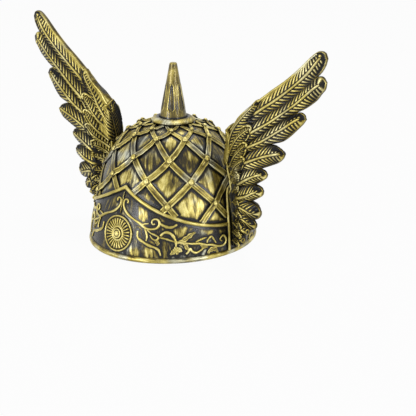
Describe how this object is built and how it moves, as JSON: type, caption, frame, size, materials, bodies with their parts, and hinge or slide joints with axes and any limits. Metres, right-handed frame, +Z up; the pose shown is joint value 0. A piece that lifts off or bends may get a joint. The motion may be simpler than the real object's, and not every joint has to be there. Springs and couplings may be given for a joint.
{
  "type": "winged helmet",
  "caption": "Winged dress helmet with a riveted strap lattice, a peaked scrollwork brow, a rosette, a crown spike and a padded band inside.",
  "frame": {"origin": "centre of the rim's underside, on the plane it stands on", "axes": "+Z up through the crown spike, -Y to the front (rosette), +X to the wearer's left"},
  "size_m": [0.447, 0.2176, 0.251],
  "materials": {
    "dark_shell": "near-black lacquer, dry-brushed with gold outside",
    "gold": "antique gold paint, semi-gloss",
    "strap_gold": "antique gold paint, worn, semi-gloss",
    "bright_gold": "bright gold paint over black, semi-gloss",
    "liner_foam": "grey foam with a soft nap"
  },
  "bodies": {
    "root": {"skull_shell": "dark_shell", "rim_bead": "gold", "brow_border": "gold", "wing_frame_left": "gold", "wing_frame_right": "gold", "under_strap_1": "strap_gold", "under_strap_2": "strap_gold", "under_strap_3": "strap_gold", "under_strap_4": "strap_gold", "under_strap_5": "strap_gold", "under_strap_6": "strap_gold", "under_strap_7": "strap_gold", "under_strap_8": "strap_gold", "under_strap_9": "strap_gold", "under_strap_10": "strap_gold", "over_strap_1": "strap_gold", "over_strap_2": "strap_gold", "over_strap_3": "strap_gold", "over_strap_4": "strap_gold", "over_strap_5": "strap_gold", "over_strap_6": "strap_gold", "over_strap_7": "strap_gold", "over_strap_8": "strap_gold", "over_strap_9": "strap_gold", "over_strap_10": "strap_gold", "crown_studs": "bright_gold", "upper_studs": "bright_gold", "middle_studs": "bright_gold", "lower_studs": "bright_gold", "brow_studs": "bright_gold", "rosette": "bright_gold", "rosette_hub": "bright_gold", "front_scroll_left": "gold", "front_scroll_right": "gold", "rear_scroll_left": "gold", "rear_scroll_right": "gold", "crown_collar": "gold", "crown_spike": "bright_gold", "socket_ring": "dark_shell", "wing_left": "bright_gold", "wing_right": "bright_gold", "liner_band": "liner_foam"}
  },
  "joints": []
}
